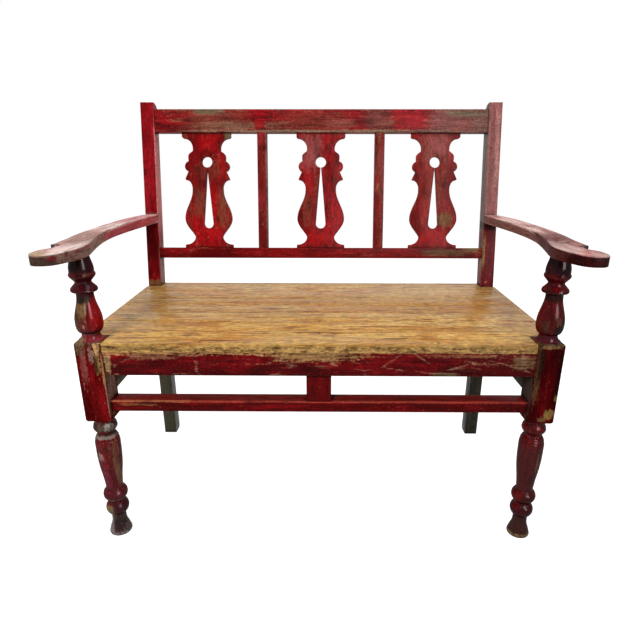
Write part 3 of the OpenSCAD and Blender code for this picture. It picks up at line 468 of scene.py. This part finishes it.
stretcher_paint = old_paint(
    "crimson of the stretcher", "x", (0.8, 0.2, 0.7), ("#4c0506", "#5c0809", "#780c10"),
    [((0, -0.19, 0.3225), (1, 0.1, 0.0025), "#7c1d18", 1.2, 0.5, 0.7),
     ((0, -0.2072, 0.321), (1, 0.0045, 0.0032), "#ac4034", 2.2, 0.5, 0.8),
     ((-0.34, -0.2072, 0.321), (0.1, 0.0045, 0.003), "#b56c4a", 5.0, 0.5, 0.7),
     ((-0.355, -0.209, 0.313), (0.04, 0.003, 0.0028), "#8a5a38", 6.0, 0.4, 0.55)],
    rub=0.003, rubbed_to="#8f5348", thin=-0.3, soot=0.2, gloss=0.34, tooth=3.0, lines=0.3)
planed("front_stretcher", 0.0018, stretcher_paint)
strut_paint = old_paint(
    "crimson of the strut", "z", (0.4, 0.9, 0.1), ("#4e0708", "#60090b", "#6e0d11"),
    rub=0.003, rubbing=-0.04, thin=-0.6, soot=0.1)
planed("centre_strut", 0.0015, strut_paint)


# Rear posts

# Each rear post is sawn from one pine plank, upright to the seat and leaning
# above it. Paint covers it above the seat; below, the wood is bare and grey.
post_left_paint = old_paint(
    "crimson of the left post", "z", (0.2, 0.3, 0.6), ("#60060b", "#7c0c13", "#8e151d"),
    # the inner face: faded pink paint with a painted sheen
    [((-0.423, 0.27, 0.72), (0.0025, 0.2, 0.17), "#cc7876", 0.8, 0.5, 0.9),
     ((-0.423, 0.23, 0.5), (0.0025, 0.2, 0.06), "#8d5a52", 1.2, 0.5, 0.8),
     ((-0.44, 0.25, 0.62), (0.05, 0.03, 0.012), "#9a5a50", 1.8, 0.5, 0.8),
     ((-0.44, 0.22, 0.45), (0.05, 0.03, 0.012), "#7a5c38", 5.0, 0.5, 0.75),
     ((-0.44, 0.22, 0.2), (0.1, 0.2, 0.222), "#4e4a3c", 0.2, 0.05, 1.0)],
    rubbing=-0.03, thin=-0.5, soot=0.1, gloss=0.34, tooth=1.5, fleck=0.15)
post_right_paint = old_paint(
    "crimson of the right post", "z", (0.6, 0.1, 0.8), ("#5c080d", "#780d13", "#8c1a1f"),
    [((0.44, 0.27, 0.78), (0.1, 0.2, 0.185), "#8c5552", 0.8, 0.15, 1.0),
     ((0.447, 0.29, 0.8), (0.006, 0.2, 0.12), "#a3706a", 3.2, 0.5, 0.7),
     ((0.434, 0.29, 0.77), (0.007, 0.2, 0.15), "#6a3a36", 3.0, 0.5, 0.6),
     ((0.423, 0.27, 0.7), (0.002, 0.3, 0.3), "#6a5c57", 0.8, 0.4, 0.95),
     ((0.44, 0.22, 0.52), (0.1, 0.2, 0.08), "#660a10", 0.8, 0.4, 0.8),
     # a painted shadow under the arm
     ((0.44, 0.25, 0.597), (0.1, 0.2, 0.013), "#1c0a0a", 1.4, 0.6, 0.8),
     ((0.4265, 0.225, 0.53), (0.0045, 0.03, 0.05), "#80623a", 2.8, 0.4, 0.85),
     ((0.44, 0.22, 0.2), (0.1, 0.2, 0.222), "#4e4a40", 0.2, 0.05, 1.0)],
    rubbing=-0.02, thin=-0.3, soot=0.1, fleck=0.85, tooth=3.0)
planed("rear_post_left", 0.0018, post_left_paint)
planed("rear_post_right", 0.0018, post_right_paint)


# Side rails, side stretchers and hidden rails

# The rails at the sides take the seat. The stretchers below them and the
# rails at the back were never painted, and the pine has gone grey-brown.
side_rail_paint = old_paint(
    "crimson of the side rails", "y", (0.9, 0.4, 0.3), ("#3d080a", "#5e0e10", "#7a1519"))
planed("side_seat_rail_left", 0.0015, side_rail_paint)
planed("side_seat_rail_right", 0.0015, side_rail_paint)


def grey_pine(name, along, shift, deep="#2f281f", main="#5a4f3f", pale="#8b7f6b"):
    """Pine that was never painted: dry, grey-brown, its soft grain worn back."""
    material, tree = blank_material(name)
    grain = grained(tree, along, shift)[2]
    figure, streak, fibre, grit = (grain[k] for k in ("Figure", "Streak", "Fibre", "Grit"))
    colour = coat(tree, span(tree, streak, 0.4, 0.6), tone(deep), tone(main))
    colour = film(tree, span(tree, figure, 0.48, 0.62), 0.8, colour, tone(pale))
    colour = shaded(tree, colour, calc(tree, "MAXIMUM", calc(tree, "MULTIPLY_ADD", grit, 2.6, -0.3), 0.4))
    # painted shade, with grime, in the corners
    colour = film(tree, shade_and_grime(tree, 0.02, streak), 0.8, colour, tone("#15110c"))
    rough = calc(tree, "MULTIPLY_ADD", streak, 0.2, 0.62)
    height = calc(tree, "MULTIPLY_ADD", fibre, 0.5, streak)
    skin_of(tree, colour, rough, 0.1, height, 0.6, 0.001)
    return material


side_grey = grey_pine("grey pine of the side stretchers", "y", (0.2, 0.8, 0.5))
planed("side_stretcher_left", 0.0015, side_grey)
planed("side_stretcher_right", 0.0015, side_grey)
back_grey = grey_pine("grey pine of the hidden rails", "x", (0.5, 0.2, 0.1))
planed("back_seat_rail", 0.0012, back_grey)
planed("rear_stretcher", 0.0015, back_grey)
bearer_grey = grey_pine("grey pine of the bearer", "y", (0.1, 0.7, 0.9))
planed("seat_bearer", 0.0012, bearer_grey)
peg_grey = grey_pine("split pine of the pegs", "y", (0.6, 0.3, 0.2))
for node in ("back_frame_pegs", "seat_frame_pegs"):
    planed(node, 0, peg_grey)


# Seat boards and nails

# Four pine boards, stripped and waxed to a honey gloss, nailed down to the
# rails. Dark streaks and short drying cracks run along them.
low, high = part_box("seat_board_front")
SEAT_FRONT, SEAT_TOP = low.y, high.z


def waxed_pine(name, shift, main, pale, scars, deep="#84521c", amber="#9c6226"):
    """Stripped pine under wax: honey bands, amber clouds that are partly painted reflection, brown streaks,
    short black drying cracks.
    scars are long dark marks in the top: place along and across the seat, half length, colour."""
    material, tree = blank_material(name)
    place, run, grain = grained(tree, "x", shift)
    streak, fibre, grit = (grain[k] for k in ("Streak", "Fibre", "Grit"))
    band = grain_noise(tree, run, 2.6, 44, 4, 0.55, 0.3)
    colour = coat(tree, span(tree, band, 0.36, 0.64), tone(main), tone(pale))
    # amber clouds, partly stain and partly painted soft reflection in the wax
    amber_and_reflection_cloud = grain_noise(tree, run, 7, 15, 4, 0.6, 0.6)
    colour = film(tree, span(tree, amber_and_reflection_cloud, 0.47, 0.64), 0.6, colour, tone(amber))
    fine = grain_noise(tree, run, 5, 110, 5, 0.7, 0.2)
    colour = film(tree, span(tree, fine, 0.5, 0.66), 0.6, colour, tone(deep))
    # Fine dark lines of the hard grain, thicker in places, with short brown strokes
    hard = span(tree, grain_noise(tree, run, 9, 170, 4, 0.65), 0.56, 0.62)
    thick = span(tree, grain_noise(tree, run, 4, 14, 2), 0.35, 0.62, 0.25, 0.95)
    hard = calc(tree, "MULTIPLY", hard, thick)
    colour = coat(tree, hard, colour, tone("#73431a"))
    stroke = span(tree, grain_noise(tree, run, 17, 130, 3, 0.6, 0.2), 0.575, 0.62)
    colour = film(tree, stroke, 0.75, colour, tone("#693c15"))
    stain = grain_noise(tree, run, 4.5, 30, 5, 0.65, 0.5)
    colour = film(tree, span(tree, stain, 0.56, 0.7), 0.4, colour, tone("#824c18"))
    crack = grain_noise(tree, run, 16, 170, 2, 0.5)
    crack = calc(tree, "MULTIPLY", span(tree, crack, 0.63, 0.67), span(tree, stain, 0.46, 0.54))
    colour = film(tree, crack, 0.9, colour, tone("#2e1b0e"))
    half_wide, half_deep = 0.0038, 0.01
    for x, y, half_long, shade in scars:
        reach = (half_long, half_wide, half_deep)
        scar = worn_patch(tree, place, fine, (x, y, SEAT_TOP), reach, 1.6, 0.5, 0.9)
        colour = coat(tree, scar, colour, tone(shade))
    # painted shade, with grime, where the boards meet the rails and each other
    colour = film(tree, shade_and_grime(tree, 0.005, streak), 0.6, colour, tone("#3a2413"))
    # The front edge is rough: pale fibres stand between dark pits
    pit = grain_noise(tree, run, 50, 170, 5, 0.85)
    edge = coat(tree, span(tree, pit, 0.4, 0.58), tone("#4a2f15"), tone("#bf9658"))
    before_edge = (0, SEAT_FRONT - 0.00225, SEAT_TOP - 0.012)
    lip = worn_patch(tree, place, pit, before_edge, (0.6, 0.0045, 0.0105), 1.6, 0.3, 0.9)
    colour = coat(tree, lip, colour, edge)
    light = calc(tree, "MULTIPLY_ADD", grain_noise(tree, run, 60, 95, 4, 0.75), 2.6, -1.22)
    light = calc(tree, "MULTIPLY_ADD", fine, 0.8, light)
    light = calc(tree, "MULTIPLY_ADD", grit, 1.2, light)
    rough = calc(tree, "MULTIPLY_ADD", grit, 0.12, 0.31)
    height = calc(tree, "MULTIPLY_ADD", fibre, 0.3, fine)
    height = calc(tree, "MULTIPLY_ADD", crack, -1.5, height)
    skin_of(tree, shaded(tree, colour, light), rough, 0.12, height, 0.1, 0.0008)
    return material


# Each board with the rubbing of its arrises, its main and pale colour, and its scars.
# The front arris is the roundest, and the boards darken towards the back.
boards = (
    ("seat_board_front", 0.0025, "#ab813f", "#bb9656",
     [(-0.01, -0.1475, 0.064, "#5a2c12"), (0.15, -0.182, 0.026, "#3a2212"),
      (-0.19, -0.196, 0.045, "#5f3416")]),
    ("seat_board_second", 0.0012, "#ab813f", "#bb9656", [(-0.26, -0.045, 0.02, "#6b3c18")]),
    ("seat_board_third", 0.0012, "#9c743a", "#ac864c",
     [(-0.02, -0.01, 0.02, "#6b3c18"), (-0.311, 0.004, 0.02, "#5f3416")]),
    ("seat_board_back", 0.0012, "#a07b45", "#af8e58", []))
for i, (node, arris, main, pale, scars) in enumerate(boards):
    cut_from = (0.37 * i, 0.61 * i + 0.1, 0.2)
    finish = waxed_pine("waxed pine of board %d" % (i + 1), cut_from, main, pale, scars)
    planed(node, arris, finish)

nail_rust, tree = blank_material("rusted iron of the nails")
place = lay(tree, "ShaderNodeTexCoord").outputs["Object"]
pit = lay(tree, "ShaderNodeTexNoise", {"Vector": place, "Scale": 900.0, "Detail": 3.0}).outputs[0]
rust = coat(tree, span(tree, pit, 0.4, 0.6), tone("#3a2a20"), tone("#6a4326"))
skin = skin_of(tree, rust, span(tree, pit, 0.3, 0.7, 0.5, 0.8), 0.5, pit, 0.5, 0.0004)
skin.inputs["Metallic"].default_value = 0.6
planed("seat_nails", 0, nail_rust)


# Back rails and mullions

# The crest rail and the lower rail are tenoned into the leaning posts, with
# two plain mullions between them. The crest is worn brown and rose.
crest_paint = old_paint(
    "crimson of the crest rail", "x", (0.5, 0.9, 0.2), ("#691115", "#821519", "#95171d"),
    [((-0.27, 0.3, 0.852), (0.11, 0.03, 0.04), "#6d3a2e", 2.6, 0.7, 0.75),
     ((-0.283, 0.3, 0.878), (0.05, 0.03, 0.013), "#6a5e46", 2.4, 0.5, 0.85),
     ((-0.2, 0.3, 0.841), (0.15, 0.03, 0.014), "#80604c", 3.2, 0.7, 0.6),
     ((-0.02, 0.3, 0.852), (0.12, 0.03, 0.04), "#713026", 2.8, 0.8, 0.7),
     ((0.05, 0.3, 0.846), (0.05, 0.03, 0.014), "#85463c", 2.8, 0.6, 0.7),
     ((0.145, 0.3, 0.857), (0.045, 0.03, 0.04), "#75423a", 2.8, 0.7, 0.7),
     ((0.34, 0.3, 0.852), (0.085, 0.03, 0.05), "#83504a", 2.2, 0.5, 0.8),
     ((0.37, 0.3, 0.87), (0.07, 0.03, 0.01), "#6e6450", 2.6, 0.5, 0.75),
     ((0.41, 0.3, 0.842), (0.035, 0.03, 0.05), "#75594e", 2.2, 0.6, 0.65),
     ((0.222, 0.3, 0.852), (0.038, 0.03, 0.05), "#961620", 0.7, 0.2, 0.8),
     ((-0.155, 0.3, 0.852), (0.02, 0.03, 0.04), "#9a1119", 1.6, 0.6, 0.8),
     ((0, 0.3, 0.829), (0.44, 0.03, 0.004), "#84705a", 3.0, 0.5, 0.75)],
    rubbing=0.02, thin=0.2, soot=0.25, gloss=0.42, lines=0.4, tooth=3.2)
planed("crest_rail", 0.0015, crest_paint)
lower_paint = old_paint(
    "crimson of the lower rail", "x", (0.3, 0.4, 0.9), ("#56070a", "#6e0e0e", "#841116"),
    [((0.33, 0.24, 0.53), (0.08, 0.03, 0.012), "#60442e", 2.8, 0.6, 0.8),
     ((0.395, 0.24, 0.54), (0.03, 0.03, 0.012), "#7d6644", 2.4, 0.6, 0.8)],
    rub=0.003, rubbing=-0.01, thin=-0.2, soot=0.2, gloss=0.4)
planed("lower_back_rail", 0.0014, lower_paint)
mullion_left_paint = old_paint(
    "crimson of the left mullion", "z", (0.15, 0.25, 0.4), ("#6a1715", "#792222", "#882026"),
    [((-0.1385, 0.27, 0.7), (0.004, 0.1, 0.2), "#6e5548", 1.6, 0.6, 0.85)],
    rub=0.003, thin=0.0, lines=0.3)
mullion_right_paint = old_paint(
    "crimson of the right mullion", "z", (0.85, 0.55, 0.7), ("#6a1815", "#7c2420", "#882624"),
    [((0.15, 0.27, 0.76), (0.02, 0.1, 0.06), "#7d3c36", 2.2, 0.7, 0.6)],
    rub=0.003, thin=0.05, lines=0.3)
planed("back_mullion_left", 0.0014, mullion_left_paint)
planed("back_mullion_right", 0.0014, mullion_right_paint)


# Splats

# Three sawn boards with a round piercing over a tapered slot, set back from
# the rails' faces. Their scarlet is scratched and worn to olive at the edges.
splat_looks = {
    # where its grain lies, its colours and its worn patches
    "left": ((0.2, 0.1, 0.3), ("#700b0d", "#880c10", "#9e0e13"),
             [((-0.238, 0.28, 0.817), (0.01, 0.1, 0.011), "#6b6244", 1.6, 0.4, 0.85),
              ((-0.255, 0.28, 0.64), (0.02, 0.1, 0.07), "#6a4330", 2.8, 0.7, 0.65),
              ((-0.318, 0.28, 0.655), (0.022, 0.1, 0.05), "#6c3a2a", 2.8, 0.7, 0.65),
              ((-0.29, 0.28, 0.73), (0.05, 0.1, 0.03), "#6c2a20", 2.6, 0.7, 0.6),
              ((-0.29, 0.28, 0.80), (0.03, 0.1, 0.03), "#a80f14", 1.4, 0.6, 0.7),
              ((-0.29, 0.28, 0.57), (0.05, 0.1, 0.025), "#a50e14", 1.6, 0.6, 0.7)]),
    "centre": ((0.6, 0.8, 0.1), ("#6c1211", "#841518", "#99191e"),
               [((-0.025, 0.28, 0.78), (0.04, 0.1, 0.06), "#93504e", 2.4, 0.7, 0.7),
                ((-0.035, 0.28, 0.64), (0.02, 0.1, 0.06), "#6b3428", 2.6, 0.7, 0.7),
                ((0.04, 0.28, 0.63), (0.02, 0.1, 0.05), "#9c1016", 1.8, 0.6, 0.6),
                ((0.03, 0.28, 0.8), (0.03, 0.1, 0.03), "#a01318", 1.6, 0.6, 0.6),
                ((0.0, 0.28, 0.565), (0.05, 0.1, 0.02), "#a01016", 1.6, 0.6, 0.7)]),
    "right": ((0.9, 0.4, 0.6), ("#6c1716", "#801f1e", "#952624"),
              [((0.293, 0.28, 0.79), (0.05, 0.1, 0.05), "#94504a", 1.8, 0.7, 0.75),
               ((0.295, 0.28, 0.70), (0.035, 0.1, 0.06), "#7a342b", 2.4, 0.7, 0.65),
               ((0.322, 0.28, 0.612), (0.024, 0.1, 0.022), "#6e5230", 3.2, 0.5, 0.8),
               ((0.293, 0.28, 0.57), (0.05, 0.1, 0.022), "#98181c", 1.6, 0.6, 0.7)])}
for side, (shift, paint, worn) in splat_looks.items():
    low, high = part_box("splat_" + side)
    # a painted shadow under the crest rail along each splat's top
    shadow_under_crest = (((low.x + high.x) / 2, 0.28, 0.8275), (0.1, 0.1, 0.006), "#26100c", 1.2, 0.5, 0.85)
    finish = old_paint(
        "scarlet of the %s splat" % side, "z", shift, paint, worn + [shadow_under_crest],
        rub=0.0035, rubbing=0.03, thin=0.1, wood=("#3f2118", "#6d4433"), gloss=0.4, lines=0.3)
    planed("splat_" + side, 0.0008, finish, rows=2)


# Arms and their wedges

# Each arm is a flat shaped board on the leg's round tenon, stubbed into the
# post behind. Sun and hands have faded the top to dusty pink.
arm_left_paint = old_paint(
    "faded red of the left arm", "y", (0.35, 0.15, 0.5), ("#ad807a", "#c9aca6", "#dac6c0"),
    [((-0.42, 0.15, 0.62), (0.1, 0.12, 0.03), "#b05a5c", 1.8, 0.6, 0.6),
     ((-0.43, -0.25, 0.6215), (0.2, 0.22, 0.0108), "#8c695d", 0.8, 0.2, 0.95),
     ((-0.43, 0.12, 0.617), (0.2, 0.24, 0.0095), "#bb4b52", 0.9, 0.3, 0.95),
     ((-0.43, -0.345, 0.6205), (0.2, 0.03, 0.0118), "#3f2d24", 1.6, 0.4, 0.95),
     ((-0.4115, -0.33, 0.626), (0.006, 0.02, 0.005), "#74161f", 3.4, 0.4, 0.8),
     ((-0.399, -0.305, 0.626), (0.004, 0.012, 0.004), "#74161f", 3.2, 0.4, 0.8),
     ((-0.397, -0.25, 0.628), (0.004, 0.045, 0.003), "#8c2c38", 2.4, 0.6, 0.75),
     ((-0.465, -0.34, 0.62), (0.03, 0.02, 0.011), "#3f3325", 1.6, 0.4, 0.9),
     ((-0.455, -0.322, 0.633), (0.045, 0.03, 0.003), "#947f62", 2.4, 0.6, 0.8),
     ((-0.438, -0.203, 0.6315), (0.014, 0.003, 0.003), "#3a2420", 4.5, 0.4, 0.85),
     # painted shade on the face of the notch in the arm's outer edge
     ((-0.452, -0.239, 0.62), (0.015, 0.01, 0.03), "#1a100d", 0.6, 0.4, 0.97)],
    rub=0.003, rubbing=-0.02, rubbed_to="#a5706a", thin=-0.5, soot=-0.2, gloss=0.5, lines=0.5,
    tooth=3.0)
arm_right_paint = old_paint(
    "faded red of the right arm", "y", (0.65, 0.75, 0.1), ("#a06a64", "#be9892", "#c9ada6"),
    [((0.43, -0.25, 0.6215), (0.2, 0.22, 0.0108), "#450c0d", 0.8, 0.2, 0.97),
     ((0.43, 0.12, 0.617), (0.2, 0.24, 0.0095), "#7c4e48", 0.9, 0.3, 0.95),
     ((0.43, -0.34, 0.6205), (0.2, 0.06, 0.0118), "#260606", 0.8, 0.3, 0.98),
     ((0.42, -0.345, 0.62), (0.025, 0.02, 0.008), "#3a090c", 2.4, 0.5, 0.7),
     ((0.463, -0.345, 0.6205), (0.016, 0.03, 0.0118), "#3a3930", 1.6, 0.4, 0.9),
     ((0.46, -0.33, 0.633), (0.03, 0.035, 0.003), "#94836f", 2.4, 0.6, 0.7),
     ((0.438, -0.203, 0.6315), (0.014, 0.003, 0.003), "#3a2420", 4.5, 0.4, 0.85),
     # painted shade on the face of the notch in the arm's outer edge
     ((0.452, -0.239, 0.62), (0.015, 0.01, 0.03), "#1a100d", 0.6, 0.4, 0.97)],
    rub=0.003, rubbing=-0.05, rubbed_to="#6e3c38", thin=-0.5, soot=-0.2, gloss=0.5, lines=0.5,
    tooth=3.0)
planed("arm_left", 0.0022, arm_left_paint)
planed("arm_right", 0.0022, arm_right_paint)
wedge_grey = grey_pine("end grain of the wedges", "z", (0.1, 0.1, 0.1), "#3a2c20", "#6a5640", "#8c7860")
planed("arm_wedges", 0, wedge_grey)


# Floor, light and camera

# A plain white floor under a white sky, with four soft lamps as in a daylight
# studio, and the camera where the photograph was taken from.
bpy.ops.object.select_all(action="DESELECT")
bpy.ops.mesh.primitive_plane_add(size=40, location=(0, 0, 0))
floor = bpy.context.object
floor.name = "studio_floor"
white, tree = blank_material("white studio floor")


def seen_rays(tree):
    """1 where the eye, a gloss or a glass looks, 0 for the light that falls on the bench."""
    ray = lay(tree, "ShaderNodeLightPath").outputs
    mirrored = calc(tree, "MAXIMUM", ray["Is Glossy Ray"], ray["Is Transmission Ray"])
    return calc(tree, "MAXIMUM", ray["Is Camera Ray"], mirrored)


# The glow brings the floor to the white of the sky, and the matt part keeps the bench's shadow
FLOOR_GLOW = 0.905
seen = seen_rays(tree)
grey = coat(tree, seen, (0.3, 0.3, 0.3, 1), (0.42, 0.42, 0.42, 1))
matt = lay(tree, "ShaderNodeBsdfDiffuse", {"Color": grey})
glow = lay(tree, "ShaderNodeEmission",
           {"Color": (1, 1, 1, 1), "Strength": calc(tree, "MULTIPLY", seen, FLOOR_GLOW)})
both = lay(tree, "ShaderNodeAddShader", {0: matt.outputs[0], 1: glow.outputs[0]})
lay(tree, "ShaderNodeOutputMaterial", {"Surface": both.outputs[0]})
floor.data.materials.append(white)

world = bpy.data.worlds.new("white studio")
bpy.context.scene.world = world
world.use_nodes = True
tree = world.node_tree
tree.nodes.clear()
sky = lay(tree, "ShaderNodeBackground",
          {"Color": (1, 1, 1, 1), "Strength": span(tree, seen_rays(tree), 0, 1, 0.23, 1.0)})
lay(tree, "ShaderNodeOutputWorld", {"Surface": sky.outputs[0]})


def lamp(name, power, wide, high, at, towards):
    """A soft rectangular lamp, in watts and metres, turned towards a point."""
    light = bpy.data.lights.new(name, "AREA")
    light.shape = "RECTANGLE"
    light.energy, light.size, light.size_y = power, wide, high
    holder = bpy.data.objects.new(name, light)
    bpy.context.scene.collection.objects.link(holder)
    holder.location = at
    holder.rotation_euler = (Vector(towards) - Vector(at)).to_track_quat("-Z", "Y").to_euler()
    return holder


lamp("window_light", 58, 0.7, 1.0, (-0.8, -2.1, 2.1), (0, 0, 0.45)).visible_glossy = False
lamp("glint_light", 70, 0.7, 1.2, (1.1, -1.5, 1.25), (0, -0.1, 0.4)).visible_diffuse = False
lamp("back_light", 30, 1.6, 1.2, (0.3, 2.6, 1.5), (0, 0.2, 0.5)).visible_glossy = False
lamp("ceiling_light", 37, 1.4, 1.4, (0.5, -0.2, 2.8), (0, 0, 0.45))

# Where the eye stood, and its turns in degrees: up from straight down, aside, and askew
eye = (0.00974, -1.11272, 0.78582)
tilt, pan, roll = 70.48, 0.474, 0.045
lens = bpy.data.cameras.new("bench_camera")
lens.sensor_width, lens.lens, lens.shift_y = 36, 29.04, 0.0189
camera = bpy.data.objects.new("bench_camera", lens)
bpy.context.scene.collection.objects.link(camera)
camera.matrix_world = (Matrix.Translation(eye)
                       @ Matrix.Rotation(math.radians(pan), 4, "Z")
                       @ Matrix.Rotation(math.radians(tilt), 4, "X")
                       @ Matrix.Rotation(math.radians(roll), 4, "Z"))
bpy.context.scene.camera = camera
bpy.context.scene.view_settings.view_transform = "Standard"

bpy.context.view_layer.update()
